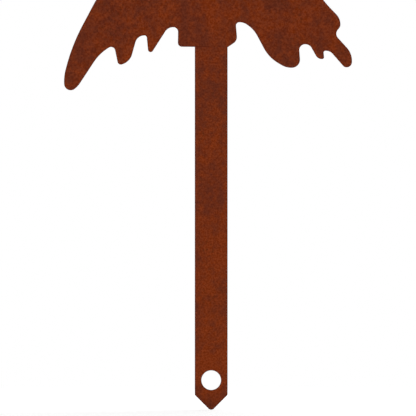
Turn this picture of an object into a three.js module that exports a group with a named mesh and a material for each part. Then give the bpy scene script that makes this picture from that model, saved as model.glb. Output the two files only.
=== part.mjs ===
// Garden stake: a fir tree cut from weathering-steel sheet, lapped over the front of a flat bar
// that is pushed into the soil, and held to it by stitch welds on the back.
//
// Millimetres, +Z up. The origin is the tip of the bar, on its centre line at mid thickness.
// The front of the stake faces -Y, so left is -X and right is +X.
import * as THREE from "three";

// Flat bar
const BAR_WIDTH = 25;
const BAR_THICKNESS = 3;
const POINT_ANGLE = 90; // included angle of the pointed end, in degrees
const POINT_ROUND = 3; // radius at the tip
const SHOULDER_ROUND = 2; // radius where the point meets the sides
const END_ROUND = 1; // radius of the two corners at the top end
const HOLE_DIAMETER = 15;
const HOLE_HEIGHT = 22.5; // from the tip to the centre of the hole
const LAP_LENGTH = 123; // how far the bar runs up behind the tree

// Cut-out tree
const SHEET_THICKNESS = 2;
const FOOT_HEIGHT = 277; // from the tip of the bar to the foot of the trunk
const TREE_WIDTH = 220; // from the tip of the lowest left bough to that of the lowest right one
const TIER_COUNT = 5;
const TIER_RISE = 89; // from the lowest tier to the one above it
const TIER_SHRINK = 0.78; // size of each tier, and of its rise, over the one below it

// Stitch welds
const WELD_LEG = 2.8; // size of the fillet along the sheet and along the bar
const WELD_CROWN = 0.4; // how far the middle of the fillet stands proud
const WELD_LENGTH = 30;
const WELD_MARGIN = 8; // clear of the trunk's foot and of the bar's top end
const RIPPLE_PITCH = 2.5;
const RIPPLE_DEPTH = 0.28; // of the hollows between the ripples

// Smoothness of the round stretches
const BAR_ARC_STEPS = 16; // half the facets of an arc
const TREE_ARC_STEPS = 4;
const WELD_FACE_STEPS = 6; // facets across the face of a weld
const RIPPLE_STEPS = 4; // facets along one ripple

// The tree is drawn on a grid, as corners [x, z, radius]. Each side is listed from the trunk outwards
// and upwards, with x growing outwards and z upwards from the foot of the trunk.
const GRID_ACROSS = 220; // squares over the width of the tree
const square = TREE_WIDTH / GRID_ACROSS;

// Sides of the trunk, with x counted from the edge of the bar
const TRUNK_LEFT = [
  [13.0, 0.1, 3.1],
  [12.7, 15.0, 4.0],
];
const TRUNK_RIGHT = [
  [0.2, -0.2, 0.4],
  [7.4, 4.7, 5.6],
  [6.2, 18.8, 2.5],
];

// Hanging twigs between the trunk and the lowest boughs, with x counted from the middle of the bar
const TWIGS_LEFT = [
  [33.0, 15.0, 8.0],
  [47.7, -8.0, 2.0],
  [49.3, 8.7, 2.0],
  [56.4, 8.7, 7.8],
  [62.1, -11.7, 11.3],
  [70.9, -14.2, 2.6],
];
const TWIGS_RIGHT = [
  [24.7, 18.7, 9.0],
  [32.5, 13.5, 23.0],
  [44.0, -8.2, 29.0],
  [57.1, -15.9, 14.5],
  [68.3, -16.1, 6.2],
];

// The two kinds of bough, at the size that they have in the lowest tier
const SICKLE_BOUGH = [
  [74.3, 1.8, 3.1], // fork under the bough
  [85.3, -5.1, 36.0],
  [101.6, -29.9, 20.0],
  [112.1, -38.8, 5.0], // tip
  [112.4, -22.0, 35.0], // back of the bough
  [106.2, 1.5, 147.0],
  [88.7, 34.4, 46.0],
];
const STEPPED_BOUGH = [
  [66.9, 2.0, 5.0], // fork under the bough
  [75.1, 2.0, 6.2],
  [81.4, -9.3, 5.0], // small twig
  [86.3, -9.3, 1.4],
  [85.7, -3.0, 1.4],
  [90.7, -3.0, 6.8],
  [101.6, -15.5, 3.8], // tip
  [107.4, -16.0, 4.6],
  [107.6, -5.0, 15.0],
  [94.1, 9.8, 4.6], // waist
  [98.7, 15.6, 4.4], // knob
  [98.6, 21.7, 11.2],
  [88.7, 31.9, 80.0], // back of the bough
  [80.8, 42.0, 46.0],
];

// The leader above the top tier, drawn as if it grew from the lowest one
const LEADER_SIDE = [[46.8, 28.7, 277]];
const LEADER_TOP = [[0, 132.7, 6.9]];

const barEdge = BAR_WIDTH / 2;
const barLength = FOOT_HEIGHT + LAP_LENGTH;
const lapPlane = -BAR_THICKNESS / 2; // the bar's front face, which carries the sheet's back face

// A closed outline through the corners, anticlockwise, with every corner rounded to its radius.
// Where two rounds don't fit on the edge between them, both give way in proportion.
function roundedOutline(corners) {
  const EDGE_SHARE = 0.98; // of an edge that its two rounds may take up
  const count = corners.length;
  const points = corners.map(([x, z]) => new THREE.Vector2(x, z));
  const at = (list, i) => list[(i + count) % count];
  const bends = points.map((point, i) => {
    const back = at(points, i - 1).clone().sub(point).normalize();
    const ahead = at(points, i + 1).clone().sub(point).normalize();
    const halfAngle = Math.acos(THREE.MathUtils.clamp(back.dot(ahead), -1, 1)) / 2;
    const isLeftTurn = back.cross(ahead) < 0;
    return { point, back, ahead, halfAngle, isLeftTurn };
  });
  const wanted = bends.map(({ halfAngle }, i) => corners[i][2] / Math.tan(halfAngle));
  const room = points.map((point, i) => {
    const length = point.distanceTo(at(points, i + 1));
    return Math.min(1, (EDGE_SHARE * length) / (wanted[i] + at(wanted, i + 1)));
  });
  const shape = new THREE.Shape();
  bends.forEach(({ point, back, ahead, halfAngle, isLeftTurn }, i) => {
    const reach = wanted[i] * Math.min(at(room, i - 1), room[i]);
    const radius = reach * Math.tan(halfAngle);
    const start = back.clone().multiplyScalar(reach).add(point);
    const end = ahead.clone().multiplyScalar(reach).add(point);
    const centre = back.clone().add(ahead).setLength(radius / Math.sin(halfAngle)).add(point);
    const startAngle = start.clone().sub(centre).angle();
    const endAngle = end.clone().sub(centre).angle();
    if (i === 0) shape.moveTo(start.x, start.y);
    else shape.lineTo(start.x, start.y);
    shape.absarc(centre.x, centre.y, radius, startAngle, endAngle, !isLeftTurn);
  });
  return shape;
}

// A plate cut to an outline drawn in X and Z. Its back lies at y = 0 and it thickens to the front.
function cutPlate(outline, thickness, arcSteps) {
  const options = { depth: thickness, bevelEnabled: false, curveSegments: arcSteps };
  return new THREE.ExtrudeGeometry(outline, options).rotateX(Math.PI / 2);
}

// A closed solid through rings of points, in order along +Z, each anticlockwise as seen from +Z.
function loft(rings) {
  const size = rings[0].length;
  const last = (rings.length - 1) * size;
  const triangles = [];
  for (let ring = 0; ring < last; ring += size) {
    for (let i = 0; i < size; i++) {
      const next = (i + 1) % size;
      triangles.push(ring + i, ring + next, ring + size + next);
      triangles.push(ring + i, ring + size + next, ring + size + i);
    }
  }
  for (let i = 1; i < size - 1; i++) {
    triangles.push(0, i + 1, i);
    triangles.push(last, last + i, last + i + 1);
  }
  const solid = new THREE.BufferGeometry().setFromPoints(rings.flat());
  solid.setIndex(triangles);
  solid.computeVertexNormals();
  return solid;
}

function barOutline() {
  const slope = THREE.MathUtils.degToRad(POINT_ANGLE / 2);
  const apex = POINT_ROUND * (1 - 1 / Math.sin(slope)); // its round brings the tip back up to z = 0
  const shoulder = apex + barEdge / Math.tan(slope);
  const outline = roundedOutline([
    [0, apex, POINT_ROUND],
    [barEdge, shoulder, SHOULDER_ROUND],
    [barEdge, barLength, END_ROUND],
    [-barEdge, barLength, END_ROUND],
    [-barEdge, shoulder, SHOULDER_ROUND],
  ]);
  outline.holes.push(new THREE.Path().absarc(0, HOLE_HEIGHT, HOLE_DIAMETER / 2, 0, 2 * Math.PI, true));
  return outline;
}

// Corners from the grid, brought to the size and height of a tier. Tier 0 is the lowest.
function inTier(corners, tier) {
  const shrink = TIER_SHRINK ** tier;
  const size = square * shrink;
  const lift = (TIER_RISE * (1 - shrink)) / (1 - TIER_SHRINK);
  return corners.map(([x, z, radius]) => [x * size, z * size + lift, radius * size]);
}

// One side of the tree. The two kinds of bough change sides from tier to tier.
function treeSide(trunk, twigs, lowestBough, otherBough) {
  const corners = inTier(trunk, 0).map(([x, z, radius]) => [barEdge + x, z, radius]);
  corners.push(...inTier(twigs, 0));
  for (let tier = 0; tier < TIER_COUNT; tier++) {
    corners.push(...inTier(tier % 2 === 0 ? lowestBough : otherBough, tier));
  }
  corners.push(...inTier(LEADER_SIDE, TIER_COUNT));
  return corners;
}

function treeOutline() {
  const right = treeSide(TRUNK_RIGHT, TWIGS_RIGHT, STEPPED_BOUGH, SICKLE_BOUGH);
  const left = treeSide(TRUNK_LEFT, TWIGS_LEFT, SICKLE_BOUGH, STEPPED_BOUGH);
  const leftDownwards = left.map(([x, z, radius]) => [-x, z, radius]).reverse();
  return roundedOutline([...right, ...inTier(LEADER_TOP, TIER_COUNT), ...leftDownwards]);
}

// One stitch weld, in the corner between the sheet at y = 0 and the bar's edge at x = 0, upwards from
// z = 0. The side is 1 for a weld on the right of the bar and -1 for one on the left.
function weldStitch(side) {
  const stepCount = Math.round((WELD_LENGTH * RIPPLE_STEPS) / RIPPLE_PITCH);
  const step = WELD_LENGTH / stepCount;
  const rings = [];
  for (let i = 0; i <= stepCount; i++) {
    const z = i * step;
    const hollow = RIPPLE_DEPTH * (1 - Math.abs(Math.sin((Math.PI * z) / RIPPLE_PITCH)));
    const fromEnd = Math.min(WELD_LEG, Math.min(z, WELD_LENGTH - z) + step);
    const endRound = Math.sqrt(1 - (1 - fromEnd / WELD_LEG) ** 2);
    const leg = (WELD_LEG - hollow) * endRound;
    const ring = [new THREE.Vector3(0, 0, z)];
    for (let j = 0; j <= WELD_FACE_STEPS; j++) {
      const share = j / WELD_FACE_STEPS;
      const proud = (endRound * WELD_CROWN * Math.sin(Math.PI * share)) / Math.SQRT2;
      ring.push(new THREE.Vector3(side * (leg * (1 - share) + proud), leg * share + proud, z));
    }
    rings.push(side > 0 ? ring : ring.reverse());
  }
  return loft(rings);
}

function patina(color) {
  return new THREE.MeshStandardMaterial({ color, roughness: 0.9, metalness: 0.1 });
}

function piece(name, geometry, material, x, y, z) {
  const mesh = new THREE.Mesh(geometry, material);
  mesh.name = name;
  mesh.position.set(x, y, z);
  return mesh;
}

const sheetPatina = patina(0x6b2c16);
const barPatina = patina(0x6b2c16);
const weldPatina = patina(0x5c2614);

const stake = new THREE.Group();

const bar = cutPlate(barOutline(), BAR_THICKNESS, BAR_ARC_STEPS);
stake.add(piece("stake_bar", bar, barPatina, 0, lapPlane + BAR_THICKNESS, 0));

const tree = cutPlate(treeOutline(), SHEET_THICKNESS, TREE_ARC_STEPS);
stake.add(piece("tree_plate", tree, sheetPatina, 0, lapPlane, FOOT_HEIGHT));

const weldHeights = {
  lower: FOOT_HEIGHT + WELD_MARGIN,
  upper: barLength - WELD_MARGIN - WELD_LENGTH,
};
for (const [level, height] of Object.entries(weldHeights)) {
  const left = piece(`weld_${level}_left`, weldStitch(-1), weldPatina, -barEdge, lapPlane, height);
  const right = piece(`weld_${level}_right`, weldStitch(1), weldPatina, barEdge, lapPlane, height);
  stake.add(left, right);
}

export default stake;
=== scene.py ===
"""Looks of a garden stake: a fir tree cut from weathering-steel sheet, welded to a flat-bar stake."""

import math
import random

import bpy
from mathutils import Color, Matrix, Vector


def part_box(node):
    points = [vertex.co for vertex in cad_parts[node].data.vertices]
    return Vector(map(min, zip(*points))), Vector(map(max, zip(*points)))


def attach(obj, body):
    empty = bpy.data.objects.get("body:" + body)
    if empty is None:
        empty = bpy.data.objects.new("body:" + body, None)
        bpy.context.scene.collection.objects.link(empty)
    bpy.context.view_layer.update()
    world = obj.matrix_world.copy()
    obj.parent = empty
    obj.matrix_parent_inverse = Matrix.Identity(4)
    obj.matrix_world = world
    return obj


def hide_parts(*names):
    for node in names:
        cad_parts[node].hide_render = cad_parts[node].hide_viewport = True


random.seed(11)  # for the ripples of the welds
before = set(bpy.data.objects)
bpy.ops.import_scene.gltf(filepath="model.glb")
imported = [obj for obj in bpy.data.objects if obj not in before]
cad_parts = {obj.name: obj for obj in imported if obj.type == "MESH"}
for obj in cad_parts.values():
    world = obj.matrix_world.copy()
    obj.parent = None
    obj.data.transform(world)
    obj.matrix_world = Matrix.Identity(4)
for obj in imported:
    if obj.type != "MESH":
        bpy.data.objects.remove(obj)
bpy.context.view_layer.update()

MM = 0.001
TINY = 0.002 * MM  # points closer than this are one point
ACROSS = 0  # the axis along the boughs
THROUGH = 1  # the axis through the thickness of the steel

# Places of the pieces, as packed
sheet_low, sheet_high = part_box("tree_plate")
_, bar_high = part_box("stake_bar")
FRONT_PLANE = sheet_low.y
LAP_PLANE = sheet_high.y  # the sheet's back, which lies on the bar's front
BAR_BACK = bar_high.y
BAR_EDGE = bar_high.x
FOOT_HEIGHT = 277 * MM  # foot of the trunk above the tip of the bar

# Edges of the steel
SHEET_EDGE_ROUND = 0.4 * MM
BAR_EDGE_ROUND = 0.45 * MM
EDGE_SEGMENTS = 3
RIM_ANGLE = math.radians(50)  # faces that meet at more than this have a rim between them
FLAT_ANGLE = math.radians(0.5)  # and at less than this they are one flat face
SMOOTH_ANGLE = math.radians(35)
CUT_EDGE_FACING = 0.5  # a face that looks less to the front or the back than this is a cut edge
FACE_SLOT = 0  # places of the two finishes on a plate
CUT_EDGE_SLOT = 1
LAP_MARGIN = 0.5 * MM

# Stitch welds: an oval section, set askew in the corner of sheet and bar
WELD_HALF_WIDTH = 2.3 * MM  # along the bead's face
WELD_HALF_DEPTH = 1.18 * MM  # square to it
WELD_STAND_OFF = 0.85 * MM  # of the oval's middle from the sheet and from the bar
WELD_TURN = math.radians(-45)
WELD_SIDES = 28
# Each ring of a bead is given as its rise over the ring below, in mm, and its size
WELD_FIRST_SIZE = 0.25
WELD_START = ((0.25, 0.48), (0.4, 0.7), (0.6, 0.88), (0.8, 1.0))
RIPPLE = ((0.2, 0.87), (0.25, 0.95), (0.5, 1.0), (0.6, 0.985), (0.45, 0.92))
WELD_CRATER = ((0.5, 0.9), (0.5, 0.74), (0.4, 0.52), (0.2, 0.28))
RIPPLE_BOW = 0.9 * MM  # how far the middle of a ripple runs ahead of its ends
RIPPLE_RISE_SPREAD = 0.1
RIPPLE_SIZE_SPREAD = 0.03

# Photograph: a square frame, straight on
PHOTO_PIXELS = 416
PIXEL = 0.76336 * MM  # size of a pixel at the stake
PHOTO_MIDDLE_X = -2.44 * MM
PHOTO_MIDDLE_Z = 153.97 * MM
CAMERA_DISTANCE = 8.0
CAMERA_NEAR = 0.05
CAMERA_FAR = 50
SENSOR = 36

# Studio, in metres and watts
FLOOR_SIZE = 12
FLOOR_WHITE = 0.9
FLOOR_GLOW = 1.4  # near the stake, where the camera sees it mixed with the matte floor
FLOOR_GLOW_SHARE = 0.5  # of that mix
SHADOW_REACH = 0.4  # up to here the floor shows shadows
FADE_REACH = 1.0  # from here on it is plain white
AMBIENT_LIGHT = 0.18
LAMP_TARGET = (0, 0, 0.25)
LAMPS = (
    ("front_softbox", (-0.4, -2.4, 0.3), 0.6, 32.5),
    ("top_softbox", (0.3, 0.75, 2.0), 1.2, 24),
    ("back_softbox", (0.9, 2.2, 0.9), 2.0, 28),
)

# Noises, each given as its count per metre, detail, roughness and distortion
BLOOMS = 62.0
CLOUD_NOISE = (BLOOMS, 4.0, 0.6, 0.5)
BROAD_NOISE = (0.3 * BLOOMS, 1.0)
CLUMP_NOISE = (210.0, 3.0, 0.65)
GRAIN_NOISE = (700.0, 4.0, 0.6)
DUST_NOISE = (1820.0, 3.0, 0.6)
PIT_PATCH_NOISE = (BLOOMS, 2.0)
SCORCH_RAG_NOISE = (250.0, 3.0)
CUT_LINE_NOISE = (2200.0, 2.0)
NOISE_MIDDLE = 0.5
NOISE_LOW = 0.3  # most of a noise lies between this and the next
NOISE_HIGH = 0.7
FULL_SWING = 0.5  # a swing this far to one side is all, and to the other none

# Blooms of orange rust over the dull ground
BLOOM_STRETCH = (1.0, 0.25, 0.5)  # blooms are longer downwards, the way that rain runs
CLOUD_STRENGTH = 3.0
BROAD_STRENGTH = 1.0
CLUMP_STRENGTH = 2.2
SHEET_PATTERN_SHIFT = (-1.73, 1.45, -0.18)  # where the pattern starts on each piece
BAR_PATTERN_SHIFT = (1.5, 0.46, -1.41)

# Grain and pits of the rust
GRAIN_STRENGTH = 1.0
DUST_STRENGTH = 0.4
DULL_CONTRAST = 2.53  # between the grains of the dull ground
BLOOM_CONTRAST = 6.21  # and where rust has bloomed
GRAIN_SHARE = 0.5
PIT_CELLS = 350.0  # per metre
PIT_FLOOR = 0.1  # where a pit's floor ends, in cells from its middle
PIT_RIM = 0.45  # and where the pit ends
FIRST_PITS = 0.52  # the patch noise at which pits begin
FULL_PITS = 0.66  # and from which they are all there
PIT_SHARE = 0.5

# Dampness makes the blooms spread
SHEET_DAMP = -0.06
SOIL_DAMP = 0.18  # on the lower part of the bar, which stands in soil
AIR_DAMP = -0.1
SOIL_HEIGHT = 130 * MM
AIR_HEIGHT = 170 * MM
HOLE_DAMP = 0.4  # round the top of the hole, where rain gathers
HOLE_DAMP_HEIGHT = 28 * MM
HOLE_DAMP_REACH = (12 * MM, 21 * MM)  # it is full up to the first, and ends at the second
PAINTED_LIGHT_REACH = 2.4 * MM  # height of a strip below the trunk's foot where painted light is laid: a lighter rust tone that cancels the shade the foot casts on the bar
PAINTED_LIGHT_STRENGTH = 0.14

# Scorch of the welds
LEAST_SCORCH_REACH = 5.4 * MM
SCORCH_REACH = 9 * MM
SHEET_SCORCH = 0.75
BAR_SCORCH = 0.6
WELD_SCORCHED = 0.5

# Cut edges
CUT_LINE_STRETCH = (1.0, 0.03, 1.0)  # the lines run through the thickness
CUT_EDGE_SHARE = 0.8

# Gloss, and the relief of grain, dust and pits
RUST_SPECULAR = 0.02
WELD_SPECULAR = 0.15
SHEET_ROUGHNESS = (0.82, 0.95)
BAR_ROUGHNESS = (0.8, 0.93)
CUT_EDGE_ROUGHNESS = (0.75, 0.92)
WELD_ROUGHNESS = (0.6, 0.85)
GRAIN_RELIEF = 0.6
DUST_RELIEF = 0.4
PIT_RELIEF = -0.5
RUST_BUMP = (0.35, 0.12 * MM)  # strength and depth
CUT_EDGE_BUMP = (0.5, 0.1 * MM)
WELD_BUMP = (0.3, 0.1 * MM)


def screen_colour(red, green, blue):
    """A colour as a screen shows it, from 0 to 255, as the linear colour that a shader takes."""
    shown = Color((red / 255, green / 255, blue / 255))
    return (*shown.from_srgb_to_scene_linear(), 1.0)


# Tones
WHITE = (1.0, 1.0, 1.0, 1.0)
DULL_BROWN = screen_colour(85, 38, 27)
BLOOM_ORANGE = screen_colour(130, 50, 12)
DEEP_BROWN = screen_colour(86, 28, 6)
BRIGHT_RUST = screen_colour(128, 60, 34)
PIT_BROWN = screen_colour(74, 36, 17)
CUT_EDGE_BROWN = screen_colour(84, 28, 8)
SCORCHED_BROWN = screen_colour(62, 30, 20)
# Painted light: a lighter rust tone laid below the trunk's foot to cancel the shade that the foot
# casts on the bar
PAINTED_LIGHT_RUST = screen_colour(150, 64, 34)


# Building nodes


def feed(tree, source, socket):
    """Links a socket to another, or writes a plain value on it."""
    if isinstance(source, bpy.types.NodeSocket):
        tree.links.new(source, socket)
    elif source is not None:
        socket.default_value = source


def socket_of(sockets, identifier):
    """The socket with this identifier, on a node where several share a name."""
    return next(socket for socket in sockets if socket.identifier == identifier)


def new_group(name, inputs, outputs):
    """An empty shader node group with named sockets, and its two ends."""
    group = bpy.data.node_groups.new(name, "ShaderNodeTree")
    for socket_name, kind in inputs:
        group.interface.new_socket(socket_name, in_out="INPUT", socket_type=f"NodeSocket{kind}")
    for socket_name, kind in outputs:
        group.interface.new_socket(socket_name, in_out="OUTPUT", socket_type=f"NodeSocket{kind}")
    return group, group.nodes.new("NodeGroupInput"), group.nodes.new("NodeGroupOutput")


def place_group(tree, group, **values):
    """The outputs of a group node in a tree. A value's name is its socket's."""
    node = tree.nodes.new("ShaderNodeGroup")
    node.node_tree = group
    for name, value in values.items():
        feed(tree, value, node.inputs[name])
    return node.outputs


def arithmetic(tree, operation, first, second=None):
    node = tree.nodes.new("ShaderNodeMath")
    node.operation = operation
    feed(tree, first, node.inputs[0])
    feed(tree, second, node.inputs[1])
    return node.outputs[0]


def times(tree, first, second):
    return arithmetic(tree, "MULTIPLY", first, second)


def total(tree, *values):
    result = values[0]
    for value in values[1:]:
        result = arithmetic(tree, "ADD", result, value)
    return result


def swing(tree, value, strength):
    """How far a noise swings from its middle, times a strength."""
    return times(tree, arithmetic(tree, "SUBTRACT", value, NOISE_MIDDLE), strength)


def vector_arithmetic(tree, operation, first, second):
    node = tree.nodes.new("ShaderNodeVectorMath")
    node.operation = operation
    feed(tree, first, node.inputs[0])
    feed(tree, second, node.inputs[1])
    return node.outputs[0]


def stretched(tree, vector, scale):
    """Coordinates times a scale, so that a pattern on them is longer where the scale is small."""
    return vector_arithmetic(tree, "MULTIPLY", vector, scale)


def moved(tree, vector, shift):
    """Coordinates moved by a shift, so that a pattern on them starts elsewhere."""
    return vector_arithmetic(tree, "ADD", vector, shift)


def length(tree, vector):
    node = tree.nodes.new("ShaderNodeVectorMath")
    node.operation = "LENGTH"
    feed(tree, vector, node.inputs[0])
    return node.outputs["Value"]


def along_axes(tree, vector):
    """The sockets X, Y and Z of a vector."""
    node = tree.nodes.new("ShaderNodeSeparateXYZ")
    feed(tree, vector, node.inputs[0])
    return node.outputs


def noise(tree, vector, count, detail, roughness=0.5, distortion=0.0):
    node = tree.nodes.new("ShaderNodeTexNoise")
    feed(tree, vector, node.inputs["Vector"])
    feed(tree, count, node.inputs["Scale"])
    feed(tree, detail, node.inputs["Detail"])
    feed(tree, roughness, node.inputs["Roughness"])
    feed(tree, distortion, node.inputs["Distortion"])
    return node.outputs["Fac"]


def ramp(tree, value, low, high, start=0.0, end=1.0):
    """A value brought from low..high to start..end, and held there."""
    node = tree.nodes.new("ShaderNodeMapRange")
    for name, number in (
        ("Value", value),
        ("From Min", low),
        ("From Max", high),
        ("To Min", start),
        ("To Max", end),
    ):
        feed(tree, number, node.inputs[name])
    return node.outputs[0]


def mixed(tree, share, first, second):
    """Two colours mixed, with a share of the second."""
    node = tree.nodes.new("ShaderNodeMix")
    node.data_type = "RGBA"
    feed(tree, share, socket_of(node.inputs, "Factor_Float"))
    feed(tree, first, socket_of(node.inputs, "A_Color"))
    feed(tree, second, socket_of(node.inputs, "B_Color"))
    return socket_of(node.outputs, "Result_Color")


# Effects that the finishes share


def bloom_over(group, place, damp):
    """How far rust has bloomed over the dull ground, from 0 to 1."""
    rained_on = stretched(group, place, BLOOM_STRETCH)
    weathered = total(
        group,
        swing(group, noise(group, rained_on, *CLOUD_NOISE), CLOUD_STRENGTH),
        swing(group, noise(group, rained_on, *BROAD_NOISE), BROAD_STRENGTH),
        swing(group, noise(group, place, *CLUMP_NOISE), CLUMP_STRENGTH),
        damp,
    )
    return ramp(group, weathered, -FULL_SWING, FULL_SWING)


def shade_of_grains(group, grain, dust, bloom):
    """How light the grains are, from 0 to 1, with more contrast where rust has bloomed."""
    speckle = total(
        group,
        swing(group, grain, GRAIN_STRENGTH),
        swing(group, dust, DUST_STRENGTH),
    )
    contrast = ramp(group, bloom, 0.0, 1.0, DULL_CONTRAST, BLOOM_CONTRAST)
    return ramp(group, times(group, speckle, contrast), -FULL_SWING, FULL_SWING)


def pits_in(group, place):
    """Where the rust is pitted, from 0 to 1."""
    cells = group.nodes.new("ShaderNodeTexVoronoi")
    feed(group, place, cells.inputs["Vector"])
    feed(group, PIT_CELLS, cells.inputs["Scale"])
    hollows = ramp(group, cells.outputs["Distance"], PIT_FLOOR, PIT_RIM, 1.0, 0.0)
    patches = ramp(group, noise(group, place, *PIT_PATCH_NOISE), FIRST_PITS, FULL_PITS)
    return times(group, hollows, patches)


def rust_bloom_group():
    """Where rust has bloomed over the dull ground, how light its grains are, where it is pitted, and
    how high it stands."""
    group, ends_in, ends_out = new_group(
        "rust_bloom",
        [("Vector", "Vector"), ("Damp", "Float")],
        [("Bloom", "Float"), ("Shade", "Float"), ("Pits", "Float"), ("Relief", "Float")],
    )
    place = ends_in.outputs["Vector"]
    bloom = bloom_over(group, place, ends_in.outputs["Damp"])
    grain = noise(group, place, *GRAIN_NOISE)
    dust = noise(group, place, *DUST_NOISE)
    pits = pits_in(group, place)
    relief = total(
        group,
        swing(group, grain, GRAIN_RELIEF),
        swing(group, dust, DUST_RELIEF),
        swing(group, pits, PIT_RELIEF),
    )
    feed(group, bloom, ends_out.inputs["Bloom"])
    feed(group, shade_of_grains(group, grain, dust, bloom), ends_out.inputs["Shade"])
    feed(group, pits, ends_out.inputs["Pits"])
    feed(group, relief, ends_out.inputs["Relief"])
    return group


def rust_tone_group():
    """The rust's colour from its bloom, grain and pits."""
    group, ends_in, ends_out = new_group(
        "rust_tone",
        [("Bloom", "Float"), ("Shade", "Float"), ("Pits", "Float")],
        [("Colour", "Color")],
    )
    given = ends_in.outputs
    ground = mixed(group, given["Bloom"], DULL_BROWN, BLOOM_ORANGE)
    grains = mixed(group, given["Shade"], DEEP_BROWN, BRIGHT_RUST)
    grainy = mixed(group, GRAIN_SHARE, ground, grains)
    pitted = mixed(group, times(group, given["Pits"], PIT_SHARE), grainy, PIT_BROWN)
    feed(group, pitted, ends_out.inputs["Colour"])
    return group


def middle_height(node):
    """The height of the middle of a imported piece."""
    low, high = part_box(node)
    return (low.z + high.z) / 2


def gap_to_weld(group, axes, node):
    """The distance to a stitch weld, or to its twin on the bar's other edge."""
    low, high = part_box(node)
    from_edge = arithmetic(group, "SUBTRACT", arithmetic(group, "ABSOLUTE", axes["X"]), BAR_EDGE)
    above_middle = arithmetic(group, "SUBTRACT", axes["Z"], middle_height(node))
    from_middle = arithmetic(group, "ABSOLUTE", above_middle)
    past_end = arithmetic(group, "SUBTRACT", from_middle, (high.z - low.z) / 2)
    gap = group.nodes.new("ShaderNodeCombineXYZ")
    feed(group, from_edge, gap.inputs["X"])
    feed(group, arithmetic(group, "MAXIMUM", past_end, 0.0), gap.inputs["Z"])
    return length(group, gap.outputs[0])


def weld_scorch_group():
    """How far the steel is scorched round the stitch welds, from 0 to 1."""
    group, ends_in, ends_out = new_group(
        "weld_scorch",
        [("Vector", "Vector")],
        [("Scorch", "Float")],
    )
    place = ends_in.outputs["Vector"]
    axes = along_axes(group, place)
    rags = noise(group, place, *SCORCH_RAG_NOISE)
    reach = ramp(group, rags, NOISE_LOW, NOISE_HIGH, LEAST_SCORCH_REACH, SCORCH_REACH)
    scorches = [
        ramp(group, gap_to_weld(group, axes, node), 0.0, reach, 1.0, 0.0)
        for node in ("weld_lower_right", "weld_upper_right")
    ]
    feed(group, arithmetic(group, "MAXIMUM", *scorches), ends_out.inputs["Scorch"])
    return group


RUST_BLOOM = rust_bloom_group()
RUST_TONE = rust_tone_group()
WELD_SCORCH = weld_scorch_group()


# Finishes


def new_finish(name):
    """An empty material, with its shader and the Object coordinates that its patterns follow."""
    material = bpy.data.materials.new(name)
    material.use_nodes = True
    tree = material.node_tree
    shader = tree.nodes["Principled BSDF"]
    place = tree.nodes.new("ShaderNodeTexCoord").outputs["Object"]
    return material, tree, shader, place


def rust(tree, place, damp=0.0):
    """The rust's pattern at a place, and its colour."""
    pattern = place_group(tree, RUST_BLOOM, Vector=place, Damp=damp)
    tone = place_group(
        tree,
        RUST_TONE,
        Bloom=pattern["Bloom"],
        Shade=pattern["Shade"],
        Pits=pattern["Pits"],
    )
    return pattern, tone["Colour"]


def set_surface(tree, shader, colour, roughness, specular):
    feed(tree, colour, shader.inputs["Base Color"])
    feed(tree, roughness, shader.inputs["Roughness"])
    shader.inputs["Specular IOR Level"].default_value = specular


def add_relief(tree, shader, height, strength_and_depth):
    bump = tree.nodes.new("ShaderNodeBump")
    strength, depth = strength_and_depth
    bump.inputs["Strength"].default_value = strength
    bump.inputs["Distance"].default_value = depth
    feed(tree, height, bump.inputs["Height"])
    feed(tree, bump.outputs["Normal"], shader.inputs["Normal"])


def sheet_finish():
    """Rust on the tree's faces, scorched round the welds on its back."""
    material, tree, shader, place = new_finish("sheet_rust")
    pattern, colour = rust(tree, moved(tree, place, SHEET_PATTERN_SHIFT), SHEET_DAMP)
    at_back = ramp(tree, along_axes(tree, place)["Y"], FRONT_PLANE, LAP_PLANE, 0.0, SHEET_SCORCH)
    scorch = times(tree, place_group(tree, WELD_SCORCH, Vector=place)["Scorch"], at_back)
    scorched = mixed(tree, scorch, colour, SCORCHED_BROWN)
    roughness = ramp(tree, pattern["Shade"], 0.0, 1.0, *SHEET_ROUGHNESS)
    set_surface(tree, shader, scorched, roughness, RUST_SPECULAR)
    add_relief(tree, shader, pattern["Relief"], RUST_BUMP)
    return material


def bar_finish():
    """Rust on the bar, with more bloom in soil and at the hole, scorched round the welds, and with
    painted light in a strip below the trunk's foot, which cancels the shade that the foot casts on
    the bar."""
    material, tree, shader, place = new_finish("bar_rust")
    axes = along_axes(tree, place)
    in_soil = ramp(tree, axes["Z"], SOIL_HEIGHT, AIR_HEIGHT, SOIL_DAMP, AIR_DAMP)
    from_spot = length(tree, moved(tree, place, (0, 0, -HOLE_DAMP_HEIGHT)))
    at_hole = ramp(tree, from_spot, *HOLE_DAMP_REACH, HOLE_DAMP, 0.0)
    damp = total(tree, in_soil, at_hole)
    pattern, colour = rust(tree, moved(tree, place, BAR_PATTERN_SHIFT), damp)
    scorch = times(tree, place_group(tree, WELD_SCORCH, Vector=place)["Scorch"], BAR_SCORCH)
    scorched = mixed(tree, scorch, colour, SCORCHED_BROWN)
    # Painted light: a lighter rust tone on the bar's front just below the trunk's foot, to cancel the
    # shade that the foot's edge casts there.
    painted_light_below_foot = ramp(tree, axes["Z"], FOOT_HEIGHT - PAINTED_LIGHT_REACH, FOOT_HEIGHT, 0.0, PAINTED_LIGHT_STRENGTH)
    at_front = ramp(tree, axes["Y"], LAP_PLANE, BAR_BACK, 1.0, 0.0)
    with_painted_light = mixed(tree, times(tree, painted_light_below_foot, at_front), scorched, PAINTED_LIGHT_RUST)
    roughness = ramp(tree, pattern["Shade"], 0.0, 1.0, *BAR_ROUGHNESS)
    set_surface(tree, shader, with_painted_light, roughness, RUST_SPECULAR)
    add_relief(tree, shader, pattern["Relief"], RUST_BUMP)
    return material


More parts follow.
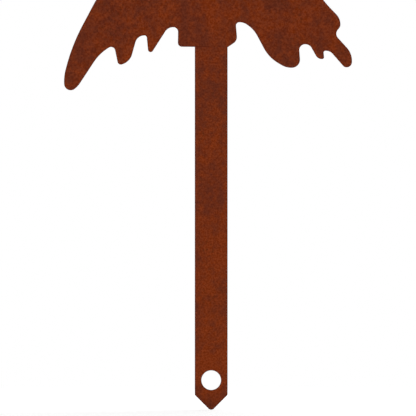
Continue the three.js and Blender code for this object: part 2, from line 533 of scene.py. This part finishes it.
def cut_edge_finish():
    """Darker rust on a cut edge, with the fine lines that the cutting leaves."""
    material, tree, shader, place = new_finish("cut_edge_rust")
    _, colour = rust(tree, place)
    darkened = mixed(tree, CUT_EDGE_SHARE, colour, CUT_EDGE_BROWN)
    lines = noise(tree, stretched(tree, place, CUT_LINE_STRETCH), *CUT_LINE_NOISE)
    roughness = ramp(tree, lines, NOISE_LOW, NOISE_HIGH, *CUT_EDGE_ROUGHNESS)
    set_surface(tree, shader, darkened, roughness, RUST_SPECULAR)
    add_relief(tree, shader, lines, CUT_EDGE_BUMP)
    return material


def weld_finish():
    """Rust over the scorched metal of the weld beads, smoother than on the sheet."""
    material, tree, shader, place = new_finish("weld_rust")
    pattern, colour = rust(tree, place)
    scorched = mixed(tree, WELD_SCORCHED, colour, SCORCHED_BROWN)
    roughness = ramp(tree, pattern["Shade"], 0.0, 1.0, *WELD_ROUGHNESS)
    set_surface(tree, shader, scorched, roughness, WELD_SPECULAR)
    add_relief(tree, shader, pattern["Relief"], WELD_BUMP)
    return material


SHEET_RUST = sheet_finish()
BAR_RUST = bar_finish()
CUT_EDGE_RUST = cut_edge_finish()
WELD_RUST = weld_finish()


# Modelling


def pick(piece):
    """Makes a piece the only one selected, and the active one."""
    bpy.ops.object.select_all(action="DESELECT")
    piece.select_set(True)
    bpy.context.view_layer.objects.active = piece


def tidy_mesh():
    """Merges points of the mesh in edit mode that are one point, and drops faces with no area."""
    bpy.ops.mesh.select_all(action="SELECT")
    bpy.ops.mesh.remove_doubles(threshold=TINY)
    bpy.ops.mesh.dissolve_degenerate(threshold=TINY)


def sort_mesh():
    """Puts the selected points and faces in an order that is the same on every run."""
    bpy.ops.mesh.sort_elements(type="CURSOR_DISTANCE", elements={"VERT", "EDGE", "FACE"})


def place_piece(piece, node):
    """Lets a piece stand for an imported one: attaches it to the root body and hides the imported
    piece.
    """
    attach(piece, "root")
    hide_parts(node)


# The cut sheet and the bar


def copied_solid(node, name):
    """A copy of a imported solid, its loose triangles merged into whole faces that meet at x = 0."""
    piece = bpy.data.objects.new(name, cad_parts[node].data.copy())
    bpy.context.collection.objects.link(piece)
    piece.data.materials.clear()
    pick(piece)
    bpy.ops.object.mode_set(mode="EDIT")
    bpy.ops.mesh.select_all(action="SELECT")
    bpy.ops.mesh.remove_doubles(threshold=TINY)
    bpy.ops.mesh.bisect(plane_co=(0, 0, 0), plane_no=(1, 0, 0))
    bpy.ops.mesh.mark_seam()
    bpy.ops.mesh.select_all(action="SELECT")
    bpy.ops.mesh.dissolve_limited(angle_limit=FLAT_ANGLE, delimit={"SEAM"})
    bpy.ops.object.mode_set(mode="OBJECT")
    return piece


def over_the_lap(*points):
    """True for points at the foot of the trunk, where it lies across the bar."""
    return all(
        abs(point.x) < BAR_EDGE + LAP_MARGIN and abs(point.z - FOOT_HEIGHT) < LAP_MARGIN
        for point in points
    )


def select_rims(piece):
    """Selects the outline's edges on the front face and on the back one, but not over the lap."""
    mesh = piece.data
    pick(piece)
    bpy.ops.object.mode_set(mode="EDIT")
    bpy.ops.mesh.select_mode(type="EDGE")
    bpy.ops.mesh.select_all(action="DESELECT")
    bpy.ops.mesh.edges_select_sharp(sharpness=RIM_ANGLE)
    bpy.ops.object.mode_set(mode="OBJECT")
    for edge in mesh.edges:
        first, second = (mesh.vertices[i].co for i in edge.vertices)
        crosses_thickness = abs(first.y - second.y) > TINY
        if crosses_thickness or over_the_lap(first, second):
            edge.select = False


def dress_plate(piece, face_rust, edge_round):
    """Rounds the rims of a cut plate and gives its faces and its cut edges their finishes."""
    mesh = piece.data
    mesh.materials.append(face_rust)
    mesh.materials.append(CUT_EDGE_RUST)
    for polygon in mesh.polygons:
        corners = [mesh.vertices[i].co for i in polygon.vertices]
        is_cut_edge = abs(polygon.normal.y) < CUT_EDGE_FACING and not over_the_lap(*corners)
        polygon.material_index = CUT_EDGE_SLOT if is_cut_edge else FACE_SLOT
    select_rims(piece)
    bpy.ops.object.mode_set(mode="EDIT")
    bpy.ops.mesh.bevel(
        offset=edge_round,
        segments=EDGE_SEGMENTS,
        affect="EDGES",
        material=CUT_EDGE_SLOT,
    )
    tidy_mesh()
    bpy.ops.object.mode_set(mode="OBJECT")
    bpy.ops.object.shade_smooth_by_angle(angle=SMOOTH_ANGLE)
    even = piece.modifiers.new("even_shading", "WEIGHTED_NORMAL")
    even.keep_sharp = True
    bpy.ops.object.modifier_apply(modifier=even.name)


def make_tree_sheet():
    piece = copied_solid("tree_plate", "tree_sheet")
    dress_plate(piece, SHEET_RUST, SHEET_EDGE_ROUND)
    place_piece(piece, "tree_plate")


def make_bar():
    piece = copied_solid("stake_bar", "flat_bar")
    dress_plate(piece, BAR_RUST, BAR_EDGE_ROUND)
    place_piece(piece, "stake_bar")


# The stitch welds


def rise_of(rings):
    return sum(rise for rise, _ in rings)


def bead_ripples(bead_length):
    """The rings of the ripples of a weld bead, no two ripples quite alike."""
    spare = bead_length / MM - rise_of(WELD_START) - RIPPLE_BOW / MM - rise_of(WELD_CRATER)
    rings = []
    for _ in range(round(spare / rise_of(RIPPLE))):
        lift = random.uniform(1 - RIPPLE_RISE_SPREAD, 1 + RIPPLE_RISE_SPREAD)
        swell = random.uniform(1 - RIPPLE_SIZE_SPREAD, 1 + RIPPLE_SIZE_SPREAD)
        rings += [(rise * lift, size * swell) for rise, size in RIPPLE]
    fit = spare / rise_of(rings)
    return [(rise * fit, size) for rise, size in rings]


def select_points(piece, wanted):
    """Selects the points of a piece, in edit mode, that lie where wanted says."""
    bpy.ops.mesh.select_mode(type="VERT")
    bpy.ops.mesh.select_all(action="DESELECT")
    bpy.ops.object.mode_set(mode="OBJECT")
    for vertex in piece.data.vertices:
        vertex.select = wanted(vertex.co)
    bpy.ops.object.mode_set(mode="EDIT")


def press_flat(piece, axis, plane):
    """Moves the points that lie below a plane square to an axis onto it."""
    select_points(piece, lambda point: point[axis] < plane)
    squeeze = [1, 1, 1]
    squeeze[axis] = 0
    centre = [0, 0, 0]
    centre[axis] = plane
    bpy.ops.transform.resize(value=squeeze, center_override=centre)


def weld_oval(name, height):
    """The section of a weld bead, set askew in the corner of sheet and bar."""
    bpy.ops.object.select_all(action="DESELECT")
    bpy.ops.mesh.primitive_circle_add(
        vertices=WELD_SIDES,
        radius=WELD_HALF_WIDTH,
        fill_type="NGON",
        location=(BAR_EDGE + WELD_STAND_OFF, LAP_PLANE + WELD_STAND_OFF, height),
        rotation=(0, 0, WELD_TURN),
    )
    piece = bpy.context.active_object
    piece.name = name
    piece.scale.y = WELD_HALF_DEPTH / WELD_HALF_WIDTH
    bpy.ops.object.transform_apply(location=True, rotation=True, scale=True)
    return piece


def resize_ring(change):
    """Resizes the selected ring about the corner of sheet and bar."""
    bpy.ops.transform.resize(value=(change, change, 1), center_override=(BAR_EDGE, LAP_PLANE, 0))


def draw_up(rings, size_now):
    """Draws the selected face upwards, ring by ring, and gives the last ring's size."""
    for rise, size in rings:
        bpy.ops.mesh.extrude_region_move(TRANSFORM_OT_translate={"value": (0, 0, rise * MM)})
        resize_ring(size / size_now)
        size_now = size
    return size_now


def bow_top(piece, height):
    """Pushes the middle of the topmost ring ahead, takes along what is near it, and selects the
    ring's face."""
    select_points(
        piece,
        lambda point: point.z > height - TINY
        and abs((point.x - BAR_EDGE) - (point.y - LAP_PLANE)) < TINY,
    )
    bpy.ops.transform.translate(
        value=(0, 0, RIPPLE_BOW),
        use_proportional_edit=True,
        proportional_edit_falloff="SPHERE",
        proportional_size=WELD_HALF_WIDTH,
    )
    bpy.ops.mesh.select_mode(type="FACE")
    bpy.ops.mesh.select_all(action="DESELECT")
    bpy.ops.object.mode_set(mode="OBJECT")
    for polygon in piece.data.polygons:
        polygon.select = len(polygon.vertices) == WELD_SIDES and polygon.center.z > height
    bpy.ops.object.mode_set(mode="EDIT")


def weld_bead(name, low, high):
    """A stitch weld on the right of the bar: an oval drawn upwards in ripples and pressed flat
    against the sheet's back and the bar's edge."""
    piece = weld_oval(name, low.z)
    bpy.ops.object.mode_set(mode="EDIT")
    bpy.ops.mesh.select_all(action="SELECT")
    resize_ring(WELD_FIRST_SIZE)
    size_now = draw_up(WELD_START, WELD_FIRST_SIZE)
    bow_top(piece, low.z + rise_of(WELD_START) * MM)
    draw_up([*bead_ripples(high.z - low.z), *WELD_CRATER], size_now)
    press_flat(piece, THROUGH, LAP_PLANE)
    press_flat(piece, ACROSS, BAR_EDGE)
    tidy_mesh()
    bpy.ops.mesh.normals_make_consistent(inside=False)
    sort_mesh()
    bpy.ops.object.mode_set(mode="OBJECT")
    bpy.ops.object.shade_smooth_by_angle(angle=SMOOTH_ANGLE)
    piece.data.materials.append(WELD_RUST)
    return piece


def turned_copy(piece, name, turn, height, new_height):
    """A copy of a bead with its own mesh, mirrored along the axes where turn is -1, its middle moved
    from one height to another."""
    pick(piece)
    bpy.ops.object.duplicate()
    copy = bpy.context.active_object
    copy.name = name
    bpy.ops.object.mode_set(mode="EDIT")
    bpy.ops.mesh.select_all(action="SELECT")
    bpy.ops.transform.resize(value=turn, center_override=(0, 0, height))
    bpy.ops.transform.translate(value=(0, 0, new_height - height))
    bpy.ops.mesh.normals_make_consistent(inside=False)
    bpy.ops.object.mode_set(mode="OBJECT")
    return copy


def make_welds():
    """Four stitch welds. The lower ones were drawn upwards and the upper ones downwards."""
    lower = middle_height("weld_lower_right")
    upper = middle_height("weld_upper_right")
    first = weld_bead("weld_bead_lower_right", *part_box("weld_lower_right"))
    beads = {"lower_right": first}
    for where, turn, height in (
        ("lower_left", (-1, 1, 1), lower),
        ("upper_right", (1, 1, -1), upper),
        ("upper_left", (-1, 1, -1), upper),
    ):
        beads[where] = turned_copy(first, f"weld_bead_{where}", turn, lower, height)
    for where, bead in beads.items():
        place_piece(bead, f"weld_{where}")


# Studio


def make_camera():
    """A camera with a long lens, level, straight in front of the stake."""
    camera = bpy.data.objects.new("camera", bpy.data.cameras.new("camera"))
    bpy.context.collection.objects.link(camera)
    camera.location = (PHOTO_MIDDLE_X, FRONT_PLANE - CAMERA_DISTANCE, PHOTO_MIDDLE_Z)
    camera.rotation_euler = (math.radians(90), 0, 0)
    camera.data.sensor_width = SENSOR
    camera.data.lens = SENSOR * CAMERA_DISTANCE / (PHOTO_PIXELS * PIXEL)
    camera.data.clip_start = CAMERA_NEAR
    camera.data.clip_end = CAMERA_FAR
    bpy.context.scene.camera = camera


def seen_directly(tree):
    """1 for what the camera, a reflection or glass sees, and 0 for what only lights the stake."""
    rays = tree.nodes.new("ShaderNodeLightPath").outputs
    seen = arithmetic(tree, "MAXIMUM", rays["Is Camera Ray"], rays["Is Glossy Ray"])
    return arithmetic(tree, "MAXIMUM", seen, rays["Is Transmission Ray"])


def floor_finish():
    """White that shows soft shadows round the stake and fades into the white background."""
    material, tree, matte, place = new_finish("studio_white")
    matte.inputs["Base Color"].default_value = (FLOOR_WHITE, FLOOR_WHITE, FLOOR_WHITE, 1)
    matte.inputs["Roughness"].default_value = 1.0
    matte.inputs["Specular IOR Level"].default_value = 0.0
    glow = tree.nodes.new("ShaderNodeEmission")
    reach = length(tree, place)
    feed(tree, ramp(tree, reach, SHADOW_REACH, FADE_REACH, FLOOR_GLOW, 1.0), glow.inputs["Strength"])
    share = ramp(tree, reach, SHADOW_REACH, FADE_REACH, FLOOR_GLOW_SHARE, 1.0)
    blend = tree.nodes.new("ShaderNodeMixShader")
    feed(tree, times(tree, seen_directly(tree), share), blend.inputs[0])
    feed(tree, matte.outputs[0], blend.inputs[1])
    feed(tree, glow.outputs[0], blend.inputs[2])
    feed(tree, blend.outputs[0], tree.nodes["Material Output"].inputs["Surface"])
    return material


def make_floor():
    bpy.ops.object.select_all(action="DESELECT")
    bpy.ops.mesh.primitive_plane_add(size=FLOOR_SIZE, location=(0, 0, 0))
    floor = bpy.context.active_object
    floor.name = "studio_floor"
    floor.data.materials.append(floor_finish())


def make_world():
    """A white background that lights the stake only a little."""
    world = bpy.data.worlds.new("studio")
    bpy.context.scene.world = world
    world.use_nodes = True
    tree = world.node_tree
    background = tree.nodes["Background"]
    background.inputs["Color"].default_value = WHITE
    strength = ramp(tree, seen_directly(tree), 0.0, 1.0, AMBIENT_LIGHT, 1.0)
    feed(tree, strength, background.inputs["Strength"])


def make_lamp(name, place, size, watts):
    """A square softbox that looks at the stake."""
    lamp = bpy.data.objects.new(name, bpy.data.lights.new(name, "AREA"))
    bpy.context.collection.objects.link(lamp)
    lamp.data.shape = "SQUARE"
    lamp.data.size = size
    lamp.data.energy = watts
    lamp.location = place
    aim = Vector(LAMP_TARGET) - Vector(place)
    lamp.rotation_euler = aim.to_track_quat("-Z", "Y").to_euler()


make_camera()
make_tree_sheet()
make_bar()
make_welds()
make_floor()
make_world()
for lamp_name, lamp_place, lamp_size, lamp_watts in LAMPS:
    make_lamp(lamp_name, lamp_place, lamp_size, lamp_watts)

bpy.context.scene.view_settings.view_transform = "Standard"
